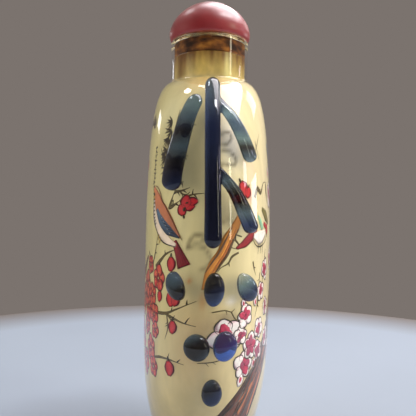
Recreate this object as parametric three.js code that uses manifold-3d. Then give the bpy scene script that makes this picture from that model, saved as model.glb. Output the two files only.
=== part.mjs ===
// Snuff bottle: a flattened clear-glass flask with a round neck, blue glass overlay in relief
// on its two narrow sides, and a domed stopper on a cork plug.
//
// Units are millimetres and +Z is up. The origin is the centre of the foot's underside.
// X runs along the bottle's long plan axis, so +X points at the narrow side that carries the
// full overlay, and the broad faces look along -Y and +Y.

import * as THREE from 'three';
import { mergeVertices } from 'three/addons/utils/BufferGeometryUtils.js';
import Module from 'manifold-3d';

// ---- Driving dimensions -------------------------------------------------------------------

const BODY_HALF_LENGTH = 23;        // half of the broad face, along X
const BODY_HALF_DEPTH = 10.8;       // half of the narrow side, along Y
const WAIST_Z = 32;                 // height of the widest section
const SHOULDER_SPAN = 32.9;         // from the widest section to where the shoulder would close
const BASE_SPAN = 33;               // from the widest section down to where the base would close
const BODY_BOTTOM_Z = 3;            // where the body meets the foot
const BODY_TOP_Z = 64.4;            // where the shoulder meets the neck

const FOOT_HALF_LENGTH = 14.2;
const FOOT_HALF_DEPTH = 7.3;
const FOOT_LEDGE_Z = 1.9;
const FOOT_EDGE = 0.4;              // rounding of the foot's standing edge
const FOOT_OFFSET = -0.7;           // the hand-finished foot sits this far off the neck's axis
const STRAIGHT_ABOVE_Z = 36;        // above this height the bottle is true to the neck's axis

const NECK_RADIUS = 6.8;
const NECK_FILLET = 0.5;
const RIM_Z = 72;
const RIM_EDGE = 0.3;

const BORE_RADIUS = 4;
const BORE_BOTTOM_Z = 63.2;
const CAVITY_HALF_LENGTH = 20.6;
const CAVITY_HALF_DEPTH = 8.7;
const CAVITY_FLOOR_Z = 7;

const CAP_RADIUS = 7.15;
const CAP_SEAT_RADIUS = 6.6;
const CAP_BULGE = 1.3;              // height of the rounded lower edge, below the widest ring
const CAP_DOME = 5.8;               // height of the dome above the widest ring
const CAP_FULLNESS = 1.76;          // 2 would be an elliptical dome, less is more pointed
const REST_GAP = 0.1;               // clearance between flat faces that rest on each other

const PLUG_LENGTH = 3;
const PLUG_RADIUS = 3.7;
const PLUG_TAPER = 0.25;

const OVERLAY_GAP = 0.3;            // clearance between the glass and the overlay's back
const STEM_HALF_WIDTH = 1.15;
const STEM_HEIGHT = 1.3;
const TWIG_HALF_WIDTH = 1;
const TWIG_HEIGHT = 1;
const LEAF_HALF_WIDTH = 1.3;
const LEAF_HEIGHT = 1;
const DROP_HEIGHT = 1.3;

// ---- Resolution ---------------------------------------------------------------------------

const AROUND = 48;
const OUTER_ROWS = 24;
const INNER_ROWS = 20;
const LATHE_AROUND = 32;
const PAD_SECTION_POINTS = 10;

// ---- Materials ----------------------------------------------------------------------------

const clearGlass = () => new THREE.MeshStandardMaterial({
  color: 0xe9dfae, roughness: 0.05, metalness: 0, transparent: true, opacity: 0.6,
});
const blueGlass = () => new THREE.MeshStandardMaterial({ color: 0x1b2a5c, roughness: 0.08, metalness: 0 });
const coral = () => new THREE.MeshStandardMaterial({ color: 0xb4505a, roughness: 0.25, metalness: 0 });
const cork = () => new THREE.MeshStandardMaterial({ color: 0x7a4d1c, roughness: 0.9, metalness: 0 });

// ---- Body outline -------------------------------------------------------------------------

// Half of a section at height z: full at the waist, closing over a span above and one below.
function closing(z, full, above, below) {
  const [span, shape] = z >= WAIST_Z ? [above.span, above] : [below.span, below];
  const share = Math.min(1, Math.abs(z - WAIST_Z) / span);
  return full * (1 - share ** shape.power) ** shape.fullness;
}

const bodyHalfLength = (z) => closing(
  z, BODY_HALF_LENGTH,
  { span: SHOULDER_SPAN, power: 2.2, fullness: 0.344 },
  { span: BASE_SPAN, power: 3, fullness: 0.469 },
);
const bodyHalfDepth = (z) => closing(
  z, BODY_HALF_DEPTH,
  { span: SHOULDER_SPAN, power: 2.45, fullness: 0.125 },
  { span: BASE_SPAN, power: 4, fullness: 0.5 },
);

// The cavity follows the same curves and ends at the bore's radius above and at a point below.
const CAVITY_SPAN_ABOVE = (BORE_BOTTOM_Z - WAIST_Z) / 0.9941;
const CAVITY_SPAN_BELOW = WAIST_Z - CAVITY_FLOOR_Z;
const cavityHalfLength = (z) => closing(
  z, CAVITY_HALF_LENGTH,
  { span: CAVITY_SPAN_ABOVE, power: 2.2, fullness: 0.377 },
  { span: CAVITY_SPAN_BELOW, power: 3, fullness: 0.469 },
);
const cavityHalfDepth = (z) => closing(
  z, CAVITY_HALF_DEPTH,
  { span: CAVITY_SPAN_ABOVE, power: 2.5, fullness: 0.184 },
  { span: CAVITY_SPAN_BELOW, power: 4, fullness: 0.5 },
);

// How far the section at height z is shifted along Y.
function axisShift(z) {
  const share = Math.max(0, (STRAIGHT_ABOVE_Z - z) / STRAIGHT_ABOVE_Z);
  return FOOT_OFFSET * share ** 1.5;
}

function ovalRing(halfLength, halfDepth, z) {
  return Array.from({ length: AROUND }, (_, i) => {
    const angle = (2 * Math.PI * i) / AROUND;
    return new THREE.Vector3(halfLength * Math.cos(angle), axisShift(z) + halfDepth * Math.sin(angle), z);
  });
}

// ---- Closed skins -------------------------------------------------------------------------

// A closed body from a stack of equal rings, with a point closing each end.
function skin(firstPole, rings, lastPole) {
  const count = rings[0].length;
  const points = [firstPole, ...rings.flat(), lastPole];
  const last = points.length - 1;
  const at = (row, i) => 1 + row * count + (i % count);
  const faces = [];
  for (let i = 0; i < count; i += 1) {
    faces.push(0, at(0, i + 1), at(0, i));
    for (let row = 0; row < rings.length - 1; row += 1) {
      faces.push(at(row, i), at(row, i + 1), at(row + 1, i + 1));
      faces.push(at(row, i), at(row + 1, i + 1), at(row + 1, i));
    }
    faces.push(at(rings.length - 1, i), at(rings.length - 1, i + 1), last);
  }
  const geometry = new THREE.BufferGeometry();
  geometry.setAttribute('position', new THREE.Float32BufferAttribute(points.flatMap((p) => p.toArray()), 3));
  geometry.setIndex(faces);
  return geometry;
}

// Heights from one end to the other, closer together near both ends.
function easedHeights(from, to, steps) {
  return Array.from({ length: steps + 1 }, (_, i) => {
    const share = (1 - Math.cos((Math.PI * i) / steps)) / 2;
    return from + (to - from) * share;
  });
}

// ---- Glass bottle -------------------------------------------------------------------------

function glassBottle() {
  const round = (radius, z) => ovalRing(radius, radius, z);
  const foot = [
    ovalRing(FOOT_HALF_LENGTH - FOOT_EDGE, FOOT_HALF_DEPTH - FOOT_EDGE, 0),
    ovalRing(FOOT_HALF_LENGTH, FOOT_HALF_DEPTH, FOOT_EDGE),
    ovalRing(FOOT_HALF_LENGTH, FOOT_HALF_DEPTH, FOOT_LEDGE_Z - FOOT_EDGE),
    ovalRing(FOOT_HALF_LENGTH - FOOT_EDGE, FOOT_HALF_DEPTH - FOOT_EDGE, FOOT_LEDGE_Z),
  ];
  const body = easedHeights(BODY_BOTTOM_Z, BODY_TOP_Z, OUTER_ROWS)
    .map((z) => ovalRing(bodyHalfLength(z), bodyHalfDepth(z), z));
  const neck = [
    round(NECK_RADIUS + NECK_FILLET * 0.3, BODY_TOP_Z + NECK_FILLET * 0.4),
    round(NECK_RADIUS, BODY_TOP_Z + NECK_FILLET * 1.4),
    round(NECK_RADIUS, RIM_Z - RIM_EDGE),
    round(NECK_RADIUS - RIM_EDGE, RIM_Z),
  ];
  const bore = [
    round(BORE_RADIUS + RIM_EDGE, RIM_Z),
    round(BORE_RADIUS, RIM_Z - RIM_EDGE),
    round(BORE_RADIUS, (RIM_Z + BORE_BOTTOM_Z) / 2),
  ];
  const cavityLowest = CAVITY_FLOOR_Z + 0.15;
  const cavity = easedHeights(BORE_BOTTOM_Z, cavityLowest, INNER_ROWS)
    .map((z) => ovalRing(cavityHalfLength(z), cavityHalfDepth(z), z));
  return skin(
    new THREE.Vector3(0, axisShift(0), 0),
    [...foot, ...body, ...neck, ...bore, ...cavity],
    new THREE.Vector3(0, axisShift(CAVITY_FLOOR_Z), CAVITY_FLOOR_Z),
  );
}

// ---- Stopper ------------------------------------------------------------------------------

function stopperCap() {
  const seatZ = RIM_Z + REST_GAP;
  const widestZ = seatZ + CAP_BULGE;
  const profile = [new THREE.Vector2(0, seatZ)];
  const bulgeSteps = 4;
  for (let i = 0; i <= bulgeSteps; i += 1) {
    const angle = (Math.PI / 2) * (i / bulgeSteps);
    const radius = CAP_SEAT_RADIUS + (CAP_RADIUS - CAP_SEAT_RADIUS) * Math.sin(angle);
    profile.push(new THREE.Vector2(radius, widestZ - CAP_BULGE * Math.cos(angle)));
  }
  const domeSteps = 10;
  for (let i = 1; i < domeSteps; i += 1) {
    const angle = (Math.PI / 2) * (i / domeSteps);
    const radius = CAP_RADIUS * Math.cos(angle) ** (2 / CAP_FULLNESS);
    profile.push(new THREE.Vector2(radius, widestZ + CAP_DOME * Math.sin(angle) ** (2 / CAP_FULLNESS)));
  }
  profile.push(new THREE.Vector2(0, widestZ + CAP_DOME));
  return standing(new THREE.LatheGeometry(profile, LATHE_AROUND));
}

function stopperPlug() {
  const top = RIM_Z;
  const bottom = RIM_Z - PLUG_LENGTH;
  const profile = [
    new THREE.Vector2(0, bottom),
    new THREE.Vector2(PLUG_RADIUS - PLUG_TAPER - RIM_EDGE, bottom),
    new THREE.Vector2(PLUG_RADIUS - PLUG_TAPER, bottom + RIM_EDGE),
    new THREE.Vector2(PLUG_RADIUS, top),
    new THREE.Vector2(0, top),
  ];
  return standing(new THREE.LatheGeometry(profile, LATHE_AROUND));
}

// Lathes turn about Y, so stand the result up along Z.
function standing(geometry) {
  return geometry.rotateX(Math.PI / 2);
}

// ---- Overlay ------------------------------------------------------------------------------

// The glass surface on a narrow side, at y across it and height z. side is 1 for +X, -1 for -X.
function surfacePoint(side, y, z) {
  const across = (y - axisShift(z)) / bodyHalfDepth(z);
  const x = bodyHalfLength(z) * Math.sqrt(Math.max(0, 1 - across * across));
  return new THREE.Vector3(side * x, y, z);
}

function surfaceNormal(side, y, z) {
  const step = 0.05;
  const alongY = surfacePoint(side, y + step, z).sub(surfacePoint(side, y - step, z));
  const alongZ = surfacePoint(side, y, z + step).sub(surfacePoint(side, y, z - step));
  return alongY.cross(alongZ).multiplyScalar(side).normalize();
}

// Stations along a pad, from -1 to 1, each with the share of full width and height there.
function rodStations(length, halfWidth) {
  const end = Math.min(0.45, halfWidth / length);
  const tip = [0.12, 0.4, 0.75].map((share) => ({
    along: end * share,
    size: Math.sqrt(1 - (1 - share) ** 2),
  }));
  const middleSteps = Math.max(2, Math.round(length / 2.4));
  const middle = Array.from({ length: middleSteps + 1 }, (_, i) => ({
    along: end + (1 - 2 * end) * (i / middleSteps),
    size: 1,
  }));
  const far = tip.map(({ along, size }) => ({ along: 1 - along, size })).reverse();
  return [...tip, ...middle, ...far];
}

function ovalStations() {
  const steps = 8;
  return Array.from({ length: steps - 1 }, (_, i) => {
    const angle = (Math.PI * (i + 1)) / steps;
    return { along: (1 - Math.cos(angle)) / 2, size: Math.sin(angle) };
  });
}

// A low rounded pad lying on the glass along a path of [y, z] points.
function pad({ side = 1, path, halfWidth, height, oval = false, widen = () => 1 }) {
  const curve = new THREE.SplineCurve(path.map(([y, z]) => new THREE.Vector2(y, z)));
  const tipTo = (share) => {
    const flat = curve.getPointAt(share);
    const normal = surfaceNormal(side, flat.x, flat.y);
    return surfacePoint(side, flat.x, flat.y).addScaledVector(normal, OVERLAY_GAP + 0.1 * height);
  };
  const stations = oval ? ovalStations() : rodStations(curve.getLength(), halfWidth);
  const rings = stations.map(({ along, size }) => {
    const flat = curve.getPointAt(along);
    const step = curve.getTangentAt(along);
    const ahead = surfacePoint(side, flat.x + step.x * 0.1, flat.y + step.y * 0.1);
    const tangent = ahead.sub(surfacePoint(side, flat.x, flat.y)).normalize();
    const across = surfaceNormal(side, flat.x, flat.y).cross(tangent).normalize();
    return Array.from({ length: PAD_SECTION_POINTS }, (_, i) => {
      const angle = (2 * Math.PI * i) / PAD_SECTION_POINTS;
      const out = halfWidth * widen(along) * size * Math.cos(angle);
      const rise = height * size * Math.max(0, Math.sin(angle));
      const y = flat.x + across.y * out;
      const z = flat.y + across.z * out;
      return surfacePoint(side, y, z).addScaledVector(surfaceNormal(side, y, z), OVERLAY_GAP + rise);
    });
  });
  return skin(tipTo(0), rings, tipTo(1));
}

// A drop: an oval pad about a centre, with its top leaning over by lean.
function drop({ side = 1, y, z, length, width, lean = 0 }) {
  const half = length / 2;
  const path = [[y + lean / 2, z + half], [y, z], [y - lean / 2, z - half]];
  return pad({ side, path, halfWidth: width / 2, height: DROP_HEIGHT, oval: true });
}

const wasm = await Module();
wasm.setup();

function asManifold(geometry) {
  const merged = mergeVertices(geometry);
  return new wasm.Manifold(new wasm.Mesh({
    numProp: 3,
    vertProperties: merged.getAttribute('position').array,
    triVerts: new Uint32Array(merged.getIndex().array),
  }));
}

function joined(geometries) {
  const whole = geometries.map(asManifold).reduce((sum, next) => sum.add(next));
  const mesh = whole.getMesh();
  const geometry = new THREE.BufferGeometry();
  geometry.setAttribute('position', new THREE.Float32BufferAttribute(mesh.vertProperties, 3));
  geometry.setIndex(Array.from(mesh.triVerts));
  return geometry;
}

const STEM_PATH = [[0.5, 62.4], [0.52, 58], [0.55, 50], [0.65, 43], [0.7, 37.2]];
const LEAF_PATH = [[-1.6, 59.6], [-2.9, 56.5], [-4, 52.4], [-4.9, 48.2], [-5.2, 45.1]];
const UPPER_TWIG_PATH = [[0.9, 59.3], [2, 57.6], [3.5, 55.6], [4.9, 52.9], [6.2, 49.4]];
const LOWER_TWIG_PATH = [[0.9, 48.3], [2.2, 46.7], [3.6, 44.9], [4.9, 42.4], [6.3, 39.2]];

const twigSpread = (along) => 0.62 + 0.38 * Math.min(1, along / 0.3);

function branchedStem() {
  const twig = (path) => pad({
    path, halfWidth: TWIG_HALF_WIDTH, height: TWIG_HEIGHT, widen: twigSpread,
  });
  return joined([plainStem(1), twig(UPPER_TWIG_PATH), twig(LOWER_TWIG_PATH)]);
}

function plainStem(side) {
  const widen = (along) => 0.95 + 0.12 * Math.abs(2 * along - 1);
  return pad({ side, path: STEM_PATH, halfWidth: STEM_HALF_WIDTH, height: STEM_HEIGHT, widen });
}

const longLeaf = (side) => pad({
  side, path: LEAF_PATH, halfWidth: LEAF_HALF_WIDTH, height: LEAF_HEIGHT,
});

const DROPS = {
  upper_left: { y: -4.3, z: 31.9, length: 3.9, width: 2.3, lean: -0.8 },
  upper_middle: { y: 0.9, z: 31.7, length: 4.6, width: 2.7, lean: 0.25 },
  upper_right: { y: 5.4, z: 31.6, length: 4.1, width: 2.5, lean: -1.2 },
  middle_left: { y: -1.3, z: 23.8, length: 3.6, width: 3.5, lean: -0.9 },
  middle_right: { y: 2.4, z: 23.9, length: 4.1, width: 3.2, lean: 0.5 },
  lowest: { y: 0.7, z: 17.5, length: 3.7, width: 2.8, lean: 0.3 },
};

// The far side is plainer: no twigs, and one drop in each row.
const FAR_DROPS = {
  upper: { y: 0.9, z: 31.7, length: 4.6, width: 2.7 },
  middle: { y: 0.6, z: 23.8, length: 3.8, width: 3.1 },
  lowest: { y: 0.5, z: 17.5, length: 3.7, width: 2.8 },
};

// ---- Assembly -----------------------------------------------------------------------------

const bottle = new THREE.Group();

function place(name, geometry, material) {
  geometry.deleteAttribute('normal');
  geometry.deleteAttribute('uv');
  const mesh = new THREE.Mesh(mergeVertices(geometry), material);
  mesh.name = name;
  bottle.add(mesh);
}

place('glass_bottle', glassBottle(), clearGlass());
place('stopper_cap', stopperCap(), coral());
place('stopper_plug', stopperPlug(), cork());
place('overlay_branched_stem', branchedStem(), blueGlass());
place('overlay_leaf', longLeaf(1), blueGlass());
place('overlay_far_stem', plainStem(-1), blueGlass());
place('overlay_far_leaf', longLeaf(-1), blueGlass());
for (const [row, shape] of Object.entries(DROPS)) {
  place(`overlay_drop_${row}`, drop(shape), blueGlass());
}
for (const [row, shape] of Object.entries(FAR_DROPS)) {
  place(`overlay_far_drop_${row}`, drop({ ...shape, side: -1 }), blueGlass());
}

export default bottle;
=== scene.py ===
"""A flattened snuff bottle of clear glass, painted on its inner wall and overlaid with blue glass.

Sizes below are millimetres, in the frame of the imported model: +Z up, the foot's underside at 0,
+X the narrow side with the full overlay. Places on the painting are (s, z): s runs round the
inner wall from the middle of that narrow side, positive towards +Y, and z is the height.
"""
import math
import random

import bmesh
import bpy
import numpy as np
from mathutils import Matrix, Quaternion, Vector

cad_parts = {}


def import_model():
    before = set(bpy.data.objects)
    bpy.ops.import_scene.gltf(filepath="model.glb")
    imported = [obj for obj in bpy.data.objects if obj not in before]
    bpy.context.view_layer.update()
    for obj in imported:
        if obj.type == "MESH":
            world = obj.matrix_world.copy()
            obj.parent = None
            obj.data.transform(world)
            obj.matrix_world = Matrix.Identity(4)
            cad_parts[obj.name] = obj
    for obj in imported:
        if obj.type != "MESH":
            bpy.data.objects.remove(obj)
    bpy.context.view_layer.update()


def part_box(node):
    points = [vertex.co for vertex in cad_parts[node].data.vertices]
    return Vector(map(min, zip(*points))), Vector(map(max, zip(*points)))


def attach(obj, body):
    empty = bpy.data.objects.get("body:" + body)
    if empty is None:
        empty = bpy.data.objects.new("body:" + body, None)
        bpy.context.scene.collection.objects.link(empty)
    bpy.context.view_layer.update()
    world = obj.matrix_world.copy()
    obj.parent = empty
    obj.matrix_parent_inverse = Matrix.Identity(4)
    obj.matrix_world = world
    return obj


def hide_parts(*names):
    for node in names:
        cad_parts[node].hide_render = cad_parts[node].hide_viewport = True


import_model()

MM = 0.001

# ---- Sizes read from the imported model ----

BOTTLE_LOW, BOTTLE_HIGH = (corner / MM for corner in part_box("glass_bottle"))
CAP_LOW, CAP_HIGH = (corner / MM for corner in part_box("stopper_cap"))
PLUG_LOW, PLUG_HIGH = (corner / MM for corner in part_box("stopper_plug"))

BODY_HALF_LENGTH = BOTTLE_HIGH.x
RIM_Z = BOTTLE_HIGH.z
CAP_TOP_Z = CAP_HIGH.z
CAP_RADIUS = CAP_HIGH.x
CAP_SEAT_Z = CAP_LOW.z
PLUG_BOTTOM_Z = PLUG_LOW.z

# ---- Sizes of the bottle's curves ----

BODY_HALF_DEPTH = 10.8
WAIST_Z = 32
SHOULDER_SPAN = 32.9
BASE_SPAN = 33
BODY_BOTTOM_Z = 3
BODY_TOP_Z = 64.4
FOOT_HALF_LENGTH = 14.2
FOOT_HALF_DEPTH = 7.3
FOOT_LEDGE_Z = 1.9
FOOT_EDGE = 0.4
FOOT_OFFSET = -0.7
STRAIGHT_ABOVE_Z = 36
NECK_RADIUS = 6.8
NECK_FILLET = 0.5
NECK_FILLET_STEPS = ((0.3, 0.4), (0.1, 0.8), (0, 1.4))     # out and up, as shares of it
RIM_EDGE = 0.3
BORE_RADIUS = 4
BORE_BOTTOM_Z = 63.2
CAVITY_HALF_LENGTH = 20.6
CAVITY_HALF_DEPTH = 8.7
CAVITY_FLOOR_Z = 7
CAVITY_CLOSING = 0.9941             # share of the shoulder's curve that the cavity runs through
CAP_SEAT_RADIUS = 6.6
CAP_BULGE = 1.3
CAP_FULLNESS = 1.76

ROUND = 192                         # points round the bottle
OUTER_ROWS = 110
INNER_ROWS = 100
WASH_LIFT = 0.04                    # paint touches the glass, so it lies this far into it
LAYER_STEP = 0.02                   # between one layer of the painting and the next
STROKE_STEP = 0.0015                # between one stroke and the next in the same figure


def closing(z, full, above, below):
    """Half of a section at height z: full at the waist, closing over a span above and below."""
    z = np.asarray(z, float)
    halves = []
    for span, power, fullness in (above, below):
        share = np.clip(np.abs(z - WAIST_Z) / span, 0, 1)
        halves.append(full * (1 - share ** power) ** fullness)
    return np.where(z >= WAIST_Z, halves[0], halves[1])


def body_half_length(z):
    return closing(z, BODY_HALF_LENGTH, (SHOULDER_SPAN, 2.2, 0.344), (BASE_SPAN, 3, 0.469))


def body_half_depth(z):
    return closing(z, BODY_HALF_DEPTH, (SHOULDER_SPAN, 2.45, 0.125), (BASE_SPAN, 4, 0.5))


CAVITY_ABOVE = (BORE_BOTTOM_Z - WAIST_Z) / CAVITY_CLOSING
CAVITY_BELOW = WAIST_Z - CAVITY_FLOOR_Z


def cavity_half_length(z):
    return closing(z, CAVITY_HALF_LENGTH, (CAVITY_ABOVE, 2.2, 0.377), (CAVITY_BELOW, 3, 0.469))


def cavity_half_depth(z):
    return closing(z, CAVITY_HALF_DEPTH, (CAVITY_ABOVE, 2.5, 0.184), (CAVITY_BELOW, 4, 0.5))


def axis_shift(z):
    """How far the section at height z is shifted along Y."""
    share = np.clip((STRAIGHT_ABOVE_Z - np.asarray(z, float)) / STRAIGHT_ABOVE_Z, 0, 1)
    return FOOT_OFFSET * share ** 1.5


def eased(start, end, steps):
    """Heights from start to end, closer together near both ends."""
    share = (1 - np.cos(np.pi * np.arange(steps + 1) / steps)) / 2
    return start + (end - start) * share


def evenly(values, share):
    """Values set evenly along a line, read at each share of its length."""
    return np.interp(share, np.linspace(0, 1, len(values)), values)


def lifted(surface, first, second, tiny, lift):
    """Points of a surface with two coordinates, moved by lift along its normal."""
    first_way = surface(first + tiny, second) - surface(first - tiny, second)
    second_way = surface(first, second + tiny) - surface(first, second - tiny)
    normal = np.cross(first_way, second_way)
    normal /= np.linalg.norm(normal, axis=-1, keepdims=True)
    return surface(first, second) + normal * np.asarray(lift)[..., None]


# ---- Colours ----


def blended(share, *tones):
    """Colours at each share, from 0 to 1, of the way through a run of tones."""
    return np.stack([evenly([tone[k] for tone in tones], share) for k in range(3)], -1)


def srgb(red, green, blue):
    """A colour given in the usual 0 to 255 numbers, as the linear numbers that shaders take."""
    def linear(value):
        share = value / 255
        return share / 12.92 if share <= 0.04045 else ((share + 0.055) / 1.055) ** 2.4
    return np.array([linear(red), linear(green), linear(blue)])


INK = srgb(40, 34, 24)
SOFT_INK = srgb(98, 86, 56)
TWIG = srgb(104, 90, 52)
TWIG_DARK = srgb(60, 48, 30)
RED = srgb(205, 34, 40)
ORANGE_RED = srgb(232, 104, 74)
WINE = srgb(112, 18, 36)
CRIMSON = srgb(206, 44, 82)
ROSE = srgb(150, 66, 96)
PINK = srgb(244, 190, 200)
PETAL_WHITE = srgb(252, 244, 236)
BARK = srgb(112, 84, 62)
BARK_GREY = srgb(126, 108, 92)
BARK_RED = srgb(132, 66, 44)
BARK_ORANGE = srgb(222, 130, 72)
BRANCH_ORANGE = srgb(222, 146, 66)
BIRD_ORANGE = srgb(224, 132, 84)
BIRD_CREAM = srgb(248, 224, 196)
BIRD_BLUE = srgb(84, 116, 146)
BIRD_NAVY = srgb(30, 42, 62)
TAIL_RED = srgb(156, 30, 40)
SOFT_GREEN = srgb(150, 200, 160)
OLIVE = srgb(126, 116, 52)
GOLD = srgb(224, 176, 48)

# Depths of the blue glass.
NAVY = srgb(48, 64, 122)
DEEP = srgb(34, 40, 80)
COBALT = srgb(78, 118, 210)
SLATE = srgb(92, 116, 152)
TEAL = srgb(128, 160, 190)
PALE = srgb(200, 214, 216)
DUSK = srgb(62, 62, 68)

# ---- Materials ----


def new_material(name):
    material = bpy.data.materials.new(name)
    material.use_nodes = True
    return material, material.node_tree, material.node_tree.nodes["Principled BSDF"]


def set_values(node, **values):
    """Sets inputs that are the same all over. In a name, _ stands for a space."""
    for name, value in values.items():
        node.inputs[name.replace("_", " ")].default_value = value


def noise(tree, scale, detail, stretch=(1, 1, 1)):
    """Noise in object space, in metres, stretched along the axes."""
    where = tree.nodes.new("ShaderNodeTexCoord")
    mapping = tree.nodes.new("ShaderNodeMapping")
    texture = tree.nodes.new("ShaderNodeTexNoise")
    set_values(mapping, Scale=stretch)
    set_values(texture, Scale=scale, Detail=detail)
    tree.links.new(where.outputs["Object"], mapping.inputs["Vector"])
    tree.links.new(mapping.outputs["Vector"], texture.inputs["Vector"])
    return texture.outputs["Fac"]


def ramp(tree, source, *stops):
    """A colour ramp over source, with stops of (place, colour)."""
    node = tree.nodes.new("ShaderNodeValToRGB")
    elements = node.color_ramp.elements
    while len(elements) < len(stops):
        elements.new(0.5)
    for element, (place, colour) in zip(elements, stops):
        element.position = place
        element.color = (*colour, 1)
    tree.links.new(source, node.inputs["Fac"])
    return node.outputs["Color"]


def varied(tree, shader, socket, source, *stops):
    """Lets an input of the shader run through stops of (place, colour)."""
    tree.links.new(ramp(tree, source, *stops), shader.inputs[socket])


def grey(value):
    return (value, value, value)


def bump(tree, shader, source, depth):
    node = tree.nodes.new("ShaderNodeBump")
    set_values(node, Distance=depth * MM, Strength=1)
    tree.links.new(source, node.inputs["Height"])
    tree.links.new(node.outputs["Normal"], shader.inputs["Normal"])


def multiplied(tree, first, second):
    node = tree.nodes.new("ShaderNodeMix")
    node.data_type = "RGBA"
    node.blend_type = "MULTIPLY"
    set_values(node, Factor=1)
    tree.links.new(first, node.inputs["A"])
    tree.links.new(second, node.inputs["B"])
    return node.outputs["Result"]


GLASS_IOR = 1.5
SHADE_OF_BLUE = (0.36, 0.4, 0.5)     # what the blue glass leaves of the light that passes it


def lets_light_through(tree, shader, tint=(1, 1, 1)):
    """Light from lamps and light that other surfaces give back pass the glass unbent, so that
    they reach what lies behind it."""
    path = tree.nodes.new("ShaderNodeLightPath")
    clear = tree.nodes.new("ShaderNodeBsdfTransparent")
    set_values(clear, Color=(*tint, 1))
    surface = shader.outputs[0]
    for ray in ("Is Diffuse Ray", "Is Shadow Ray"):
        mix = tree.nodes.new("ShaderNodeMixShader")
        tree.links.new(path.outputs[ray], mix.inputs[0])
        tree.links.new(surface, mix.inputs[1])
        tree.links.new(clear.outputs[0], mix.inputs[2])
        surface = mix.outputs[0]
    tree.links.new(surface, tree.nodes["Material Output"].inputs["Surface"])


def clear_glass():
    material, tree, shader = new_material("clear_glass")
    set_values(shader, Base_Color=(1, 0.995, 0.97, 1), Roughness=0.015)
    set_values(shader, Transmission_Weight=1, IOR=GLASS_IOR)
    bump(tree, shader, noise(tree, 160, 2, (1, 1, 0.35)), 0.03)
    lets_light_through(tree, shader)
    return material


def own_colour(tree, shader, grain, darkest):
    """Gives each point its own colour, which the grain darkens to darkest."""
    own = tree.nodes.new("ShaderNodeAttribute")
    own.attribute_name = "paint"
    shade = ramp(tree, grain, (0.3, grey(darkest)), (0.7, grey(1)))
    tree.links.new(multiplied(tree, own.outputs["Color"], shade), shader.inputs["Base Color"])


def blue_glass(name, milk):
    """Blue glass with each point's own depth of colour, a little milky."""
    material, tree, shader = new_material(name)
    own_colour(tree, shader, noise(tree, 700, 4), 0.78)
    set_values(shader, Transmission_Weight=1 - milk, IOR=GLASS_IOR, Roughness=0.03)
    bump(tree, shader, noise(tree, 260, 2), 0.02)
    lets_light_through(tree, shader, SHADE_OF_BLUE)
    return material


def paint(name, roughness, grain=900, stretch=(1, 1, 1), depth=0.01, darkest=0.82):
    """Brushed colour: each point's own colour, with the brush's streaks over it."""
    material, tree, shader = new_material(name)
    streaks = noise(tree, grain, 4, stretch)
    own_colour(tree, shader, streaks, darkest)
    varied(tree, shader, "Roughness", streaks, (0.3, grey(roughness + 0.1)), (0.7, grey(roughness)))
    bump(tree, shader, streaks, depth)
    return material


def coral():
    material, tree, shader = new_material("coral")
    reds = ((0.3, srgb(120, 28, 32)), (0.5, srgb(138, 36, 40)), (0.72, srgb(154, 46, 50)))
    varied(tree, shader, "Base Color", noise(tree, 180, 5), *reds)
    scuffs = noise(tree, 1500, 6)
    varied(tree, shader, "Roughness", scuffs, (0.35, grey(0.42)), (0.65, grey(0.54)))
    set_values(shader, Coat_Weight=1, Coat_Roughness=0.3)
    bump(tree, shader, scuffs, 0.012)
    return material


def cork():
    material, tree, shader = new_material("cork")
    grain = noise(tree, 520, 6, (1, 1, 1.6))
    browns = (
        (0.34, srgb(40, 20, 8)), (0.48, srgb(98, 56, 20)),
        (0.6, srgb(146, 92, 32)), (0.75, srgb(190, 136, 58)),
    )
    varied(tree, shader, "Base Color", grain, *browns)
    set_values(shader, Roughness=0.75)
    bump(tree, shader, grain, 0.1)
    return material


# ---- Meshes ----


def new_object(name, data):
    made = bpy.data.objects.new(name, data)
    bpy.context.scene.collection.objects.link(made)
    return made


def add_piece(name, solid, material, stands_for=(), colours=None):
    """A piece of the object, from points in millimetres and faces, riding on the one body."""
    points, faces = solid
    mesh = bpy.data.meshes.new(name)
    mesh.from_pydata((np.asarray(points) * MM).tolist(), [], [list(map(int, f)) for f in faces])
    mesh.materials.append(material)
    mesh.polygons.foreach_set("use_smooth", [True] * len(mesh.polygons))
    if colours is not None:
        layer = mesh.color_attributes.new("paint", "FLOAT_COLOR", "POINT")
        solid = np.ones((len(colours), 4), np.float32)
        solid[:, :3] = colours
        layer.data.foreach_set("color", solid.ravel())
    mesh.validate()
    piece = new_object(name, mesh)
    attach(piece, "root")
    if stands_for:
        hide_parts(*stands_for)


def oval(half_length, half_depth, z, count=ROUND):
    angle = 2 * np.pi * np.arange(count) / count
    return np.stack([
        half_length * np.cos(angle), axis_shift(z) + half_depth * np.sin(angle), np.full(count, z),
    ], 1)


def skin(rings, first_pole, last_pole):
    """Points and faces of a closed body: equal rings with a point at each end."""
    count = len(rings[0])
    points = np.concatenate([[first_pole], *rings, [last_pole]])
    faces = []
    for i in range(count):
        step = (i + 1) % count
        faces.append((0, 1 + step, 1 + i))
        for row in range(len(rings) - 1):
            low = 1 + row * count
            high = low + count
            faces.append((low + i, low + step, high + step, high + i))
        top = 1 + (len(rings) - 1) * count
        faces.append((top + i, top + step, len(points) - 1))
    return points, faces


def quarter(centre, radius, start, end, steps=6):
    """(radius, height) points on an arc, for a rounded edge. Angles are in degrees."""
    angles = np.radians(np.linspace(start, end, steps + 1))
    return [(centre[0] + radius * math.cos(a), centre[1] + radius * math.sin(a)) for a in angles]


# ---- Glass bottle ----


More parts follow.
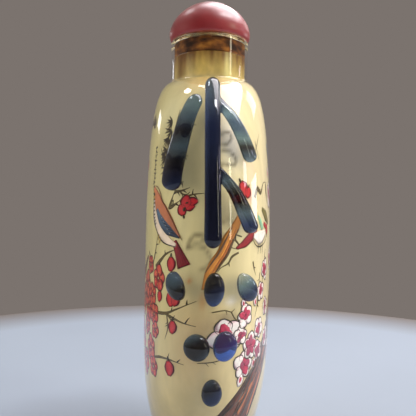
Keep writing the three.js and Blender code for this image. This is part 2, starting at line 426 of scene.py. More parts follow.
def glass_bottle():
    foot_arc = quarter((-FOOT_EDGE, FOOT_EDGE), FOOT_EDGE, -90, 0)
    foot_arc += quarter((-FOOT_EDGE, FOOT_LEDGE_Z - FOOT_EDGE), FOOT_EDGE, 0, 90)
    rings = [oval(FOOT_HALF_LENGTH + out, FOOT_HALF_DEPTH + out, z) for out, z in foot_arc]
    for z in eased(BODY_BOTTOM_Z, BODY_TOP_Z, OUTER_ROWS):
        rings.append(oval(body_half_length(z), body_half_depth(z), z))
    neck_top = RIM_Z - RIM_EDGE
    fillet = [
        (NECK_RADIUS + NECK_FILLET * out, BODY_TOP_Z + NECK_FILLET * up)
        for out, up in NECK_FILLET_STEPS
    ]
    lip = quarter((NECK_RADIUS - RIM_EDGE, neck_top), RIM_EDGE, 0, 90)
    lip += quarter((BORE_RADIUS + RIM_EDGE, neck_top), RIM_EDGE, 90, 180)
    bore_middle = (RIM_Z + BORE_BOTTOM_Z) / 2
    for radius, z in [*fillet, *lip, (BORE_RADIUS, bore_middle)]:
        rings.append(oval(radius, radius, z))
    for z in eased(BORE_BOTTOM_Z, CAVITY_FLOOR_Z + 0.02, INNER_ROWS):
        rings.append(oval(cavity_half_length(z), cavity_half_depth(z), z))
    foot_centre = (0, float(axis_shift(0)), 0)
    floor_centre = (0, float(axis_shift(CAVITY_FLOOR_Z)), CAVITY_FLOOR_Z)
    body = skin(rings, foot_centre, floor_centre)
    add_piece("glass_bottle_body", body, clear_glass(), ["glass_bottle"])


# ---- The inner wall ----


def round_the_waist():
    """Angles from -pi to pi with the arc length on the inner wall's waist at each."""
    angle = np.linspace(-np.pi, np.pi, 4001)
    x = CAVITY_HALF_LENGTH * np.cos(angle)
    y = CAVITY_HALF_DEPTH * np.sin(angle)
    length = np.concatenate([[0], np.cumsum(np.hypot(np.diff(x), np.diff(y)))])
    return angle, length - length[-1] / 2


WALL_ANGLE, WALL_LENGTH = round_the_waist()
HALF_ROUND = WALL_LENGTH[-1]        # from the middle of one narrow side to that of the other


def raw_wall(angle, z):
    return np.stack([
        cavity_half_length(z) * np.cos(angle),
        axis_shift(z) + cavity_half_depth(z) * np.sin(angle),
        z,
    ], -1)


def wall(s, z, lift):
    """Points of the inner wall at (s, z), moved by lift into the glass."""
    s = (np.asarray(s, float) + HALF_ROUND) % (2 * HALF_ROUND) - HALF_ROUND
    z = np.asarray(z, float)
    angle = np.interp(s, WALL_LENGTH, WALL_ANGLE)
    return lifted(raw_wall, angle, z, 0.01, lift)


# ---- Ground of the painting ----

# Soft patches in the ground: patches of colour brushed into it, and a few of painted shade and painted
# light: place, reach, colour and strength.
PATCHES_AND_PAINTED_LIGHT = [
    ((2.4, 27.6), (1.5, 0.7), srgb(120, 104, 76), 0.8),
    ((3.4, 26.8), (0.8, 0.6), srgb(120, 104, 76), 0.7),
    ((0.6, 26.4), (1.6, 1.2), srgb(160, 136, 100), 0.5),
    ((-2.2, 32.5), (0.32, 0.4), srgb(220, 130, 50), 0.8),
    ((-0.5, 29.8), (0.4, 1.1), srgb(214, 140, 66), 0.7),
    # painted shade: the ground right of the stem darker, where less light falls
    ((2.2, 41.2), (1.5, 2.2), srgb(170, 150, 105), 0.5),
    ((3.1, 29.7), (0.8, 0.6), srgb(250, 240, 220), 0.8),
    # painted reflection: a pale upright strip of a window mirrored on the glass
    ((7.5, 47.5), (1.2, 4), srgb(246, 214, 180), 0.5),
    ((7.2, 44.4), (1.1, 0.8), srgb(226, 140, 144), 0.6),
    # painted light: the ground right of the stem's top paler, where light falls from the upper right
    ((3.4, 53), (2.2, 4.5), srgb(255, 246, 222), 0.8),
    ((-8, 57), (5, 3), srgb(244, 234, 180), 0.7),
    ((0, 61.6), (6, 1.4), srgb(232, 190, 110), 0.6),
    ((-1.8, 24), (3.2, 7), srgb(204, 168, 116), 0.6),
]
# Blurred lines, as of a stroke that showed through and was painted over.
SOFT_LINES = [
    ([(1.4, 53), (2.8, 53.4), (3.3, 52.6), (2.4, 51.6), (1.4, 51.4)], 0.24, srgb(112, 102, 74), 0.8),
    ([(1.8, 50.6), (3.2, 50.4), (4, 49.4), (3.4, 48.6), (2, 48.9), (1.5, 48.3)], 0.24,
     srgb(108, 96, 68), 0.85),
    ([(-2.5, 36.9), (-2.3, 37.9), (-1.7, 38.7), (-0.9, 38.9), (-0.4, 38.3)], 0.26,
     srgb(124, 108, 72), 0.8),
    ([(-2.4, 37.2), (-1.4, 37.5), (-0.4, 37.3)], 0.3, srgb(116, 100, 68), 0.8),
    ([(0, 36.6), (0.4, 35.6), (0.2, 34.8), (-0.8, 34)], 0.3, srgb(140, 124, 90), 0.7),
    ([(1.6, 40.6), (2.8, 41), (3.2, 40.2)], 0.22, srgb(130, 112, 78), 0.7),
    ([(1.2, 38.6), (2.2, 38.9), (2.6, 38.2)], 0.22, srgb(130, 112, 78), 0.7),
]


def wash_colours(s, z):
    """The ground's colour: warm cream, yellower to the left, paler to the right as painted light falling
    from that side, and darker and tanner towards the bottom.
    """
    left, middle, right = srgb(222, 208, 142), srgb(222, 206, 150), srgb(238, 222, 174)
    low = srgb(220, 192, 138)
    # the paler right tone is painted light from the right side
    colours = blended(0.5 + s / 28, left, middle, right)
    colours += (low - colours) * np.clip((34 - z) / 24, 0, 1)[:, None] * 0.7
    for (at_s, at_z), (wide, high), colour, strength in PATCHES_AND_PAINTED_LIGHT:
        near = strength * np.exp(-((s - at_s) / wide) ** 2 - ((z - at_z) / high) ** 2)
        colours += (colour - colours) * near[:, None]
    for path, reach, colour, strength in SOFT_LINES:
        line, _ = smooth_path(path, 40)
        away = np.min(np.hypot(s[:, None] - line[:, 0], z[:, None] - line[:, 1]), axis=1)
        near = strength * np.exp(-(away / reach) ** 2)
        colours += (colour - colours) * near[:, None]
    return colours


def smooth_path(path, count):
    """Evenly spaced points on a smooth curve through path, with the way it runs at each."""
    knots = np.array(path, float)
    ends = [2 * knots[0] - knots[1], *knots, 2 * knots[-1] - knots[-2]]
    fine = []
    for before, start, stop, after in zip(ends, ends[1:], ends[2:], ends[3:]):
        share = np.linspace(0, 1, 16, endpoint=False)[:, None]
        fine.append(0.5 * (
            2 * start + (stop - before) * share
            + (2 * before - 5 * start + 4 * stop - after) * share ** 2
            + (3 * start - before - 3 * stop + after) * share ** 3
        ))
    fine = np.concatenate([*fine, [knots[-1]]])
    length = np.concatenate([[0], np.cumsum(np.hypot(*np.diff(fine, axis=0).T))])
    places = np.linspace(0, length[-1], count)
    line = np.stack([np.interp(places, length, fine[:, 0]), np.interp(places, length, fine[:, 1])], 1)
    way = np.gradient(line, axis=0)
    return line, way / np.maximum(np.linalg.norm(way, axis=1, keepdims=True), 1e-9)


WASH_AROUND = 300
WASH_TOP_Z = 62.6
WASH_FLOOR_GAP = 0.05
WASH_ROWS = 150
WASH_BACK_ROWS = 24


def painted_wash():
    """The ground over the whole inner wall, as a thin closed coat."""
    s = -HALF_ROUND + 2 * HALF_ROUND * np.arange(WASH_AROUND) / WASH_AROUND
    lowest = CAVITY_FLOOR_Z + WASH_FLOOR_GAP
    outer = [(z, WASH_LIFT) for z in eased(lowest, WASH_TOP_Z, WASH_ROWS)]
    inner = [(z, -WASH_LIFT) for z in eased(WASH_TOP_Z, lowest, WASH_BACK_ROWS)]
    rings = []
    colours = []
    for z, lift in outer + inner:
        level = np.full(WASH_AROUND, z)
        rings.append(wall(s, level, np.full(WASH_AROUND, lift)))
        colours.append(wash_colours(s, level))
    middle = (0, float(axis_shift(CAVITY_FLOOR_Z)))
    poles = [(*middle, CAVITY_FLOOR_Z + lift) for lift in (-WASH_LIFT, WASH_LIFT)]
    colours = np.concatenate([colours[0][:1], *colours, colours[-1][:1]])
    ground = paint("ground_paint", 0.45, 420, (1, 1, 0.25), 0.02)
    add_piece("painted_wash", skin(rings, *poles), ground, colours=colours)


COAT_AROUND = 120


def amber_colours(angle, height):
    """Snuff stains on the bore, and a pale yellow streak of painted light shining through the varnish.
    height is 0 at the shoulder and 1 where the cork starts.
    """
    tone = blended(height, srgb(240, 222, 168), srgb(222, 194, 112), srgb(214, 178, 92))
    # painted light: a pale yellow streak where light shines through the neck
    light_streak_run = 0.85 * np.exp(-((angle - 0.68) / 0.13) ** 2)
    dark_run = 0.75 * np.exp(-((angle + 1.25) / 0.3) ** 2) * np.clip(height * 2, 0, 1)
    ragged = sum(0.05 * np.sin(k * angle + k * k) for k in (2, 5, 11, 17, 29))
    browned = 0.9 * np.clip((height - 0.55 + ragged) / 0.5, 0, 1) ** 1.5
    for share, stain in (
        (light_streak_run, srgb(255, 240, 150)), (dark_run, srgb(120, 74, 34)), (browned, srgb(124, 76, 28)),
    ):
        tone = tone + (stain - tone) * np.asarray(share)[:, None]
    return tone


def amber_neck_coat():
    """Snuff-stained varnish on the bore, from the shoulder to the cork, with a painted streak of light.
    """
    rows = []
    for z in np.linspace(WASH_TOP_Z - 0.4, BORE_BOTTOM_Z, 6)[:-1]:
        rows.append((float(cavity_half_length(z)), float(cavity_half_depth(z)), z))
    rows += [(BORE_RADIUS, BORE_RADIUS, z) for z in np.linspace(BORE_BOTTOM_Z, PLUG_BOTTOM_Z + 0.3, 30)]
    thin = 1.5 * WASH_LIFT
    outer = [oval(long + thin, deep + thin, z, COAT_AROUND) for long, deep, z in rows]
    inner = [oval(long - thin, deep - thin, z, COAT_AROUND) for long, deep, z in reversed(rows)]
    angle = np.pi - np.abs(2 * np.pi * np.arange(COAT_AROUND) / COAT_AROUND - np.pi)
    angle[COAT_AROUND // 2:] *= -1
    colours = []
    for ring in outer + inner:
        height = np.clip((ring[0][2] - WASH_TOP_Z) / (PLUG_BOTTOM_Z - WASH_TOP_Z), 0, 1)
        colours.append(amber_colours(angle, np.full(COAT_AROUND, height)))
    faces = []
    for row in range(len(rows) * 2):
        low = row * COAT_AROUND
        high = (row + 1) % (len(rows) * 2) * COAT_AROUND
        for i in range(COAT_AROUND):
            step = (i + 1) % COAT_AROUND
            faces.append((low + i, low + step, high + step, high + i))
    coat = paint("amber_varnish", 0.3, 500, (1, 1, 0.5), 0.02, 0.5)
    points = np.concatenate(outer + inner)
    add_piece("amber_neck_coat", (points, faces), coat, colours=np.concatenate(colours))


# ---- Brushwork ----


rng = random.Random(7)


def to_left(way):
    return np.stack([-way[:, 1], way[:, 0]], 1)


class Painting:
    """One colour family of the painting: brush strokes gathered into one mesh."""

    def __init__(self, name, gloss=0.5):
        self.name = name
        self.gloss = gloss
        self.points = []
        self.colours = []
        self.faces = []
        self.total = 0
        self.height = 0

    def begin(self, layer):
        """Starts a figure: its strokes lie over every lower layer, each over the one before."""
        self.height = WASH_LIFT + layer * LAYER_STEP

    def stroke(self, path, widths, colour, rim=None, across=2, tip=None):
        """A stroke along path whose width follows widths, evenly spaced along it. colour and tip
        are its colours at its start and its end, and rim is the colour that its edges run to."""
        self.height += STROKE_STEP
        knots = np.array(path, float)
        reach = float(np.sum(np.hypot(*np.diff(knots, axis=0).T)))
        count = int(np.clip(reach / 0.28, 5, 60)) + 1
        line, way = smooth_path(path, count)
        along = np.linspace(0, 1, count)
        width = evenly(widths, along) / 2
        side = np.linspace(-1, 1, across + 1)
        left = to_left(way)
        spots = line[:, None] + left[:, None] * (width[:, None] * side)[..., None]
        crown = (1 - side ** 2) * np.ones((count, 1))
        crown[[0, -1]] = 0
        front = wall(spots[..., 0], spots[..., 1], self.height + 0.008 * crown)
        back = wall(spots[..., 0], spots[..., 1], np.full(crown.shape, self.height - 0.006))
        tip = colour if tip is None else tip
        tones = colour + (tip - colour) * along[:, None, None] + np.zeros((1, across + 1, 1))
        if rim is not None:
            tones = tones + (rim - tones) * (np.abs(side) ** 2.5)[None, :, None]
        self.add_sheets(front, back, tones)

    def mark(self, place, angle, size, points, widths, colour, rim=None, across=2):
        """A stroke through points that are given in a figure's own units."""
        self.stroke(turned(place, angle, size, points), widths, colour, rim, across)

    def add_sheets(self, front, back, tones):
        """Closes a front and a back sheet, which share their rim, into one thin solid."""
        count, wide = front.shape[:2]
        fore = self.total + np.arange(count * wide).reshape(count, wide)
        rear = fore.copy()
        inside = (slice(1, -1), slice(1, -1))
        hidden = back[inside].reshape(-1, 3)
        rear[inside] = self.total + count * wide + np.arange(len(hidden)).reshape(count - 2, wide - 2)
        self.points += [front.reshape(-1, 3), hidden]
        self.colours += [tones.reshape(-1, 3), tones[inside].reshape(-1, 3)]
        for i in range(count - 1):
            for j in range(wide - 1):
                corners = [(i, j), (i + 1, j), (i + 1, j + 1), (i, j + 1)]
                self.faces.append([fore[c] for c in corners])
                self.faces.append([rear[c] for c in reversed(corners)])
        self.total += count * wide + len(hidden)

    def finish(self):
        material = paint(self.name + "_paint", self.gloss)
        points = np.concatenate(self.points)
        add_piece(self.name, (points, self.faces), material, colours=np.concatenate(self.colours))


def turned(place, angle, size, points):
    """Points of a figure, given in its own units, at its place, turned by degrees."""
    c, s = math.cos(math.radians(angle)), math.sin(math.radians(angle))
    return [(place[0] + size * (c * x - s * y), place[1] + size * (s * x + c * y)) for x, y in points]


def edges_of(path, widths):
    """The two edges of a stroke, as paths."""
    line, way = smooth_path(path, 14)
    left = to_left(way) * evenly(widths, np.linspace(0, 1, 14))[:, None] / 2
    return (line + left).tolist(), (line - left).tolist()


PETAL_SHAPE = [0.25, 0.78, 1, 0.98, 0.72, 0.2]


def petal(on, place, angle, length, breadth, colour, rim, ink, line_width):
    path = turned(place, angle, length, [(0.12, 0), (0.55, 0.03), (1, 0)])
    widths = [breadth * share for share in PETAL_SHAPE]
    on.stroke(path, widths, colour, rim, across=4)
    left, right = edges_of(path, widths)
    on.stroke(left[2:] + right[:1:-1], [line_width * share for share in (0.5, 1, 1, 0.5)], ink)


def red_blossom(on, place, size, turn):
    """Five mottled red petals with wine edges round a dark heart with gold stamens."""
    on.begin(3 + int(size * 10) % 3)
    for k in range(5):
        angle = turn + 72 * k + rng.uniform(-8, 8)
        tone = RED + (ORANGE_RED - RED) * rng.uniform(0, 0.9)
        length = size / 2 * rng.uniform(0.9, 1.08)
        petal(on, place, angle, length, length * 1.05, tone, WINE * 1.2, WINE * 0.55, 0.16)
        on.mark(place, angle + rng.uniform(-14, 14), length, [(0.45, 0), (0.68, 0.02), (0.86, 0)],
                [0.05, 0.3 * length, 0.05], ORANGE_RED * rng.uniform(0.8, 1.1), tone, 4)
        on.mark(place, angle, length, [(0.1, 0), (0.3, 0.02), (0.42, 0)],
                [0.1, 0.3 * length, 0.05], WINE * rng.uniform(0.6, 1.4), tone, 4)
    for k in range(6):
        angle = turn + 60 * k + rng.uniform(-12, 12)
        on.mark(place, angle, size / 2, [(0.08, 0), (0.45, 0.04)], [0.1, 0.07], WINE * 0.4)
        on.mark(place, angle, size / 2, [(0.42, 0.04), (0.54, 0.04)], [0.16, 0.2, 0.12], GOLD)


def red_bud(on, place, size, turn):
    """A closed red bud on its calyx."""
    on.begin(4)
    path = turned(place, turn, size, [(-0.5, 0), (0, 0.05), (0.5, 0)])
    widths = [0.3 * size, 0.86 * size, 0.8 * size, 0.25 * size]
    on.stroke(path, widths, RED, WINE, across=4)
    for edge in edges_of(path, widths):
        on.stroke(edge, [0.08, 0.16, 0.08], WINE * 0.5)
    calyx = [0.1 * size, 0.2 * size, 0.1 * size]
    on.mark(place, turn, size, [(-0.75, 0), (-0.42, 0)], calyx, TWIG_DARK)


def white_blossom(on, place, size, turn):
    """White petals outlined in soft ink round a big crimson heart."""
    on.begin(3 + int(size * 10) % 3)
    for k in range(5):
        angle = turn + 72 * k + rng.uniform(-9, 9)
        length = size / 2 * rng.uniform(0.9, 1.12)
        petal(on, place, angle, length, length * 0.98, PETAL_WHITE, PINK, SOFT_INK * 0.4, 0.2)
    for k in range(5):
        angle = turn + 72 * k + rng.uniform(-12, 12)
        reach = rng.choice((0.4, 0.72, 0.82))
        tone = CRIMSON + (ROSE - CRIMSON) * rng.uniform(0, 0.9)
        widths = [0.15 * size, 0.36 * size * rng.uniform(0.8, 1.1), 0.1 * size]
        flush = [(0, 0), (reach * 0.55, 0.02), (reach, 0)]
        on.mark(place, angle, size / 2, flush, widths, tone, tone * 0.85, 4)
    for k in range(7):
        angle = turn + 360 / 7 * k + rng.uniform(-12, 12)
        on.mark(place, angle, size / 2, [(0.05, 0), (0.5, 0.03)], [0.07, 0.05], WINE * 0.5)


def white_bud(on, place, size, turn):
    on.begin(4)
    path = turned(place, turn, size, [(-0.5, 0), (0, 0.04), (0.5, 0)])
    widths = [0.2 * size, 0.75 * size, 0.7 * size, 0.15 * size]
    on.stroke(path, widths, PETAL_WHITE, PINK, across=4)
    flush = [0.3 * size, 0.5 * size, 0.1 * size]
    on.mark(place, turn, size, [(-0.4, 0), (0.25, 0.03)], flush, CRIMSON, across=4)
    for edge in edges_of(path, widths):
        on.stroke(edge, [0.06, 0.14, 0.06], SOFT_INK * 0.5)


def draw_each(figure, on, rows):
    """Draws one kind of figure at each (s, z, size, turn)."""
    for s, z, size, turn in rows:
        figure(on, (s, z), size, turn)


def twig(on, path, start, end, thorns):
    """A twig that thins towards its end, darker along its edges, with a few thorns."""
    on.begin(1)
    middle = (start + end) / 2
    on.stroke(path, [start * 0.8, start, middle, end, end * 0.4], TWIG, TWIG_DARK, across=3)
    line, way = smooth_path(path, 20)
    for _ in range(thorns):
        i = rng.randrange(3, 17)
        lean = rng.choice((-1, 1)) * rng.uniform(50, 75)
        angle = math.degrees(math.atan2(way[i][1], way[i][0])) + lean
        on.mark(line[i], angle, rng.uniform(0.5, 1.1), [(0, 0), (0.6, 0.05), (1, 0)],
                [start * 0.6, start * 0.4, 0.06], TWIG_DARK)


BARK_STREAKS = 60


def trunk(on, path, widths):
    """A bough: mottled bark, darker along its edges, reddish at its foot, with orange light."""
    on.begin(1)
    on.stroke(path, widths, BARK, BARK * 0.6, across=6, tip=BARK_RED)
    line, way = smooth_path(path, 40)
    left = to_left(way)
    half = evenly(widths, np.linspace(0, 1, 40)) / 2
    for _ in range(BARK_STREAKS):
        start = rng.randrange(0, 32)
        stop = min(40, start + rng.randrange(7, 14))
        off = rng.uniform(-0.95, 0.95)
        spots = []
        for i in range(start, stop, 2):
            sway = off + rng.uniform(-0.07, 0.07)
            spots.append(line[i] + left[i] * half[i] * sway)
        tones = (BARK * 0.4, BARK * 0.6, BARK_GREY, BARK_GREY * 0.6, BARK_RED, BARK_ORANGE * 0.7)
        wide = rng.uniform(0.2, 0.6)
        on.stroke(spots, [wide * 0.2, wide, wide, wide * 0.2], rng.choice(tones))


def needles(on, place, angle, spread, reach, count):
    """A tuft of ink strokes fanning out from its place."""
    on.begin(2)
    for k in range(count):
        lean = angle + spread * (k / (count - 1) - 0.5) + rng.uniform(-7, 7)
        length = reach * rng.uniform(0.75, 1.15)
        hair = [(0.06, 0), (0.55, rng.uniform(-0.06, 0.06)), (1, 0)]
        on.mark(place, lean, length, hair, [0.16, 0.3, 0.22, 0.07], INK * rng.uniform(1, 2.2))


def bird(on, place, size, angle, mirror=1, back=BIRD_ORANGE, belly=BIRD_CREAM,
         wing=BIRD_BLUE, tail=TAIL_RED):
    """A small plump bird lying along one way from crown to wing tip, its back towards +y."""
    def at(*points):
        return turned(place, angle, size, [(x, mirror * y) for x, y in points])

    def part(points, widths, colour, rim, tip=None):
        on.stroke(at(*points), [share * size for share in widths], colour, rim, 6, tip)

    on.begin(5)
    part([(0.92, -0.1), (1.08, -0.15), (1.25, -0.22)], [0.08, 0.13, 0.19], tail, WINE, tail * 0.7)
    for k in range(4):
        on.stroke(at((0.96, -0.1 + 0.01 * k), (1.23, -0.28 + 0.04 * k)), [0.08, 0.16, 0.06], WINE * 0.5)
    part([(0.16, -0.16), (0.34, -0.25), (0.6, -0.24), (0.82, -0.19), (0.98, -0.12)],
         [0.08, 0.17, 0.17, 0.14, 0.05], belly, belly * 0.92)
    part([(-0.01, -0.02), (0.16, -0.03), (0.34, -0.05), (0.6, -0.01), (0.95, 0)],
         [0.07, 0.23, 0.25, 0.16, 0.03], back, back * 0.8, back * 0.5)
    part([(0, -0.05), (0.07, -0.07), (0.14, -0.1)], [0.03, 0.09, 0.03], GOLD * 0.8, back)
    part([(0.3, -0.12), (0.44, -0.13), (0.62, -0.11), (0.95, -0.01)], [0.07, 0.16, 0.16, 0.02],
         wing, BIRD_NAVY, BIRD_NAVY)
    for k in range(6):
        x = 0.42 + 0.07 * k
        on.stroke(at((x, -0.16 + 0.014 * k), (x + 0.12, -0.08 + 0.014 * k)),
                  [0.06, 0.18, 0.05], BIRD_NAVY)
        on.stroke(at((x, -0.1), (x + 0.03, -0.09)), [0.03, 0.09, 0.03], BIRD_CREAM * 0.7)
    edge = [(0.1, -0.14), (0.2, -0.22), (0.32, -0.3), (0.42, -0.32)]
    line, way = smooth_path(edge, 8)
    for (x, y), (dx, dy) in zip(line, way):
        on.stroke(at((x, y), (x - dy * 0.06, y + dx * 0.06)), [0.16, 0.26, 0.08], INK)
        x, y = x + dx * 0.025, y + dy * 0.025
        on.stroke(at((x, y), (x - dy * 0.07, y + dx * 0.07)), [0.12, 0.22, 0.08], PETAL_WHITE)
    on.stroke(at((0, 0.03), (0.1, 0.09), (0.23, 0.1), (0.33, 0.075), (0.55, 0.07), (0.74, 0.05), (1, 0)),
              [0.08, 0.17, 0.2, 0.2, 0.2, 0.16, 0.08], back * 0.25)
    on.stroke(at((0.02, -0.09), *edge, (0.64, -0.32), (0.8, -0.27), (0.99, -0.13)),
              [0.08, 0.18, 0.2, 0.18, 0.16, 0.06], INK)
    part([(0.02, -0.08), (0.07, -0.07), (0.1, -0.05)], [0.02, 0.045, 0.02], OLIVE * 0.3, INK)
    for k in range(2):
        leg = (0.62 + 0.06 * k, -0.3)
        on.stroke(at(leg, (leg[0] + 0.02, -0.38)), [0.3, 0.24, 0.2], GOLD * 0.7)


# ---- The painting ----


def front_twigs(twigs):
    """Twigs that show beside and between the overlay on the +X side."""
    for path, start in [
        ([(-6.1, 42.4), (-5.8, 43), (-5.2, 44.4), (-4.9, 45)], 0.55),
        ([(-5, 44.9), (-4, 44.9), (-3.2, 45.1), (-2.3, 45.4)], 0.4),
        ([(-4.9, 45), (-4.5, 45.7), (-3.9, 46.2), (-3.3, 46.2)], 0.32),
        ([(-3.9, 44.9), (-3.5, 44.5), (-2.8, 44.4), (-2.3, 44.8)], 0.28),
        ([(-5.9, 42.5), (-4.9, 43), (-3.8, 43.6)], 0.55),
        ([(-3.9, 43.5), (-2.6, 44.2), (-1.4, 44.5), (-0.4, 44.6)], 0.36),
        ([(-13.6, 35.8), (-12, 34.6), (-10.6, 34)], 0.4),
        ([(-9.8, 33.8), (-8, 34.9), (-6.4, 36), (-3.6, 37)], 0.6),
        ([(-11, 34), (-10, 36), (-9.2, 38.6)], 0.42),
        ([(-9.6, 27), (-6.4, 27.4), (-4.2, 28.3), (-1.2, 29.8)], 0.5),
        ([(-6.6, 27.4), (-4.6, 27), (-3, 26.6), (-1.2, 26.3)], 0.4),
        ([(-5.8, 27.2), (-5.2, 26.8), (-4.9, 26.4)], 0.3),
        ([(-6, 27.2), (-5.7, 25.4), (-6.3, 23.6)], 0.3),
        ([(-9.4, 20.2), (-7.4, 20.7), (-5, 20.9), (-2.6, 20.7)], 0.42),
        ([(-19, 27), (-14, 24.6), (-11, 22)], 0.4),
        ([(-0.9, 21.2), (1, 21.4), (2.4, 21.8)], 0.16),
    ]:
        twig(twigs, path, start, 0.16, 2)
    for path, start in [
        ([(0.9, 45.2), (1.5, 45.3)], 0.2),
        ([(4.6, 37.2), (3.6, 38.2), (2.8, 38), (3, 37.2), (4.4, 36.8)], 0.3),
        ([(4.9, 38.6), (3.9, 38.9), (3.2, 39.4)], 0.24),
        ([(4.3, 36.4), (3.2, 35.9), (2.6, 35), (1.6, 34.4), (1.2, 33.8)], 0.34),
        ([(8.4, 44.2), (9.4, 45.6), (10.8, 45), (12.4, 46.6), (14.6, 46.8)], 0.8),
        ([(14, 46.6), (14.2, 44.8), (15.4, 42.6)], 0.7),
        ([(9.4, 52.8), (10.6, 50)], 0.2),
        ([(8.6, 50.4), (11.6, 54.2)], 0.2),
        ([(7.7, 34.9), (8, 33.9), (8.6, 32.8)], 0.4),
        ([(9.6, 30.4), (9.5, 28.6), (8.6, 26.6)], 0.5),
        ([(10.2, 33), (9.8, 31), (9.6, 29.4)], 0.24),
        ([(0.6, 28.3), (2.2, 28.5), (3.2, 28.2), (3.8, 28.6)], 0.18),
        ([(3.2, 28.2), (3.8, 27.2), (4.8, 26.3)], 0.2),
        ([(13, 36.4), (12.2, 33.4), (10.6, 29.4)], 0.3),
    ]:
        twig(twigs, path, start, 0.14, 1)


def front_trunks(trunks):
    """The lower bough sweeping to the right and the orange branch up the middle."""
    trunk(trunks, [(18, 25.5), (13.5, 20.6), (9.4, 16.8), (5.6, 13), (3.4, 10)],
          [4, 4.6, 5.2, 6, 7])
    trunks.begin(3)
    for path, wide in [
        ([(14.5, 21.2), (10.2, 18), (8.2, 16.4), (6.4, 14.6), (4.8, 12.6)], 1.1),
        ([(13, 18), (10.2, 15.4), (8.6, 13.4), (7.6, 11.6)], 0.9),
        ([(9, 17.6), (7, 16), (5, 14.6)], 0.4),
    ]:
        trunks.stroke(path, [0.3 * wide, wide, 0.7 * wide, wide, 0.6 * wide], BARK_ORANGE,
                      BARK_RED, across=4)
    trunks.begin(1)
    spine = [(-0.4, 31.4), (0.2, 33.6), (1, 35.2), (1.8, 36.4), (2.6, 38.2), (3.7, 39.9), (4.7, 41.8)]
    trunks.stroke(spine, [0.5, 0.9, 1.4, 1.5, 1.7, 1.4, 0.9],
                  BRANCH_ORANGE, BRANCH_ORANGE * 0.75, across=4)
    for off, wide, tone in ((0.62, 0.34, BARK * 0.8), (0.3, 0.3, BARK_ORANGE * 0.7), (-0.35, 0.24, BARK),
                            (0.05, 0.2, BRANCH_ORANGE * 1.2)):
        spots = [(s + off + 0.1 * math.sin(5 * z), z - 0.4 * off) for s, z in spine[1:-1]]
        trunks.stroke(spots, [0.1, wide, wide * 1.4, wide, wide * 0.5], tone)


def front_blossoms(reds, whites):
    """Red blossom left of the overlay, white blossom right of it."""
    draw_each(red_blossom, reds, [
        (-8.7, 32.2, 3.9, 10), (-12.2, 33.8, 3, 50), (-14, 30.6, 4.4, 0),
        (-10.9, 29.4, 3.6, 30), (-16.8, 28, 5, 65), (-12.8, 27.4, 4.2, 15),
        (-9.9, 26.6, 3.4, 48), (-13.4, 24.4, 3.6, 40), (-9.4, 24.3, 2.6, 5),
        (-11.2, 21.2, 4, 25), (-14.4, 18.4, 4.6, 55), (-9.8, 18.6, 3.2, 5),
        (-16.4, 21.8, 3.8, 30), (-19.6, 31.6, 4.6, 10),
    ])
    draw_each(red_bud, reds, [
        (-3.4, 42.3, 1.7, 105), (-2.3, 42.7, 1.5, 20), (-2.8, 43.4, 1.9, 75),
        (-1.9, 43.4, 1.4, 10), (-5.4, 34.6, 2.1, 265), (-5.4, 29.5, 2, 285), (-4.4, 29.6, 1.8, 250),
        (-4.8, 25.7, 1.9, 265), (-5.2, 19.6, 2.3, 280), (-8.2, 29.6, 1.7, 260),
        (5.3, 45.4, 2.2, 300), (6.3, 44.9, 1.7, 250), (4.9, 44.2, 1.7, 20),
        (14.2, 39.4, 1.7, 80),
    ])
    draw_each(white_blossom, whites, [
        (2.6, 24.8, 4.8, 40), (5.9, 27.3, 3.4, 100), (4.9, 24.6, 2.8, 10),
        (7.4, 22.6, 4, 10), (10.2, 24.8, 3.4, 55), (10, 21.4, 3.2, 30),
        (5.8, 20.1, 4.2, 75), (10.6, 30.2, 3.2, 20), (12.6, 33.4, 3.4, 60), (14, 22.4, 3.2, 5),
        (13.4, 27.4, 3, 15),
    ])
    draw_each(white_bud, whites, [
        (5, 17.9, 1.8, 250), (8.6, 29, 1.5, 95), (8.4, 19.6, 1.8, 240), (5.4, 29.2, 1.3, 100),
    ])


def front_birds(birds):
    """The bird left of the overlay and the one half hidden at its right."""
    bird(birds, (-11.2, 45.7), 11, -44)
    birds.begin(5)
    birds.stroke([(3.8, 37), (5.4, 37.6), (7, 38.5), (9, 39.4)], [0.3, 1.3, 1.5, 0.6],
                 TAIL_RED, WINE * 0.8, across=4)
    for k in range(5):
        birds.stroke([(4.6 + 0.8 * k, 37.2 + 0.3 * k), (5.6 + 0.8 * k, 38.1 + 0.3 * k)],
                     [0.08, 0.16, 0.05], WINE * 0.5)
    birds.stroke([(7.8, 38.6), (10.2, 38.3), (13, 39)], [0.7, 2.2, 2, 0.7],
                 PETAL_WHITE, BIRD_CREAM, across=4)
    birds.stroke([(9.4, 41.6), (10.4, 40.6), (11.4, 39.4)], [0.4, 1.1, 0.9], SOFT_GREEN, across=4)
    birds.stroke([(11.2, 42.6), (13.2, 41.6), (15.4, 40.4)], [0.6, 1.7, 0.7],
                 OLIVE, OLIVE * 0.6, across=4)
    birds.stroke([(12, 40.4), (13.8, 39.6)], [0.5, 1, 0.4], RED, WINE, across=4)
    birds.stroke([(7.4, 38.2), (8.6, 37.2), (10.2, 36.9), (12.8, 37.6), (14.2, 39.2)],
                 [0.1, 0.18, 0.18, 0.16, 0.06], INK)
    for k in range(3):
        birds.stroke([(9.6 + 0.8 * k, 37.2), (9.2 + 1.1 * k, 35.9)], [0.14, 0.12, 0.06], INK)


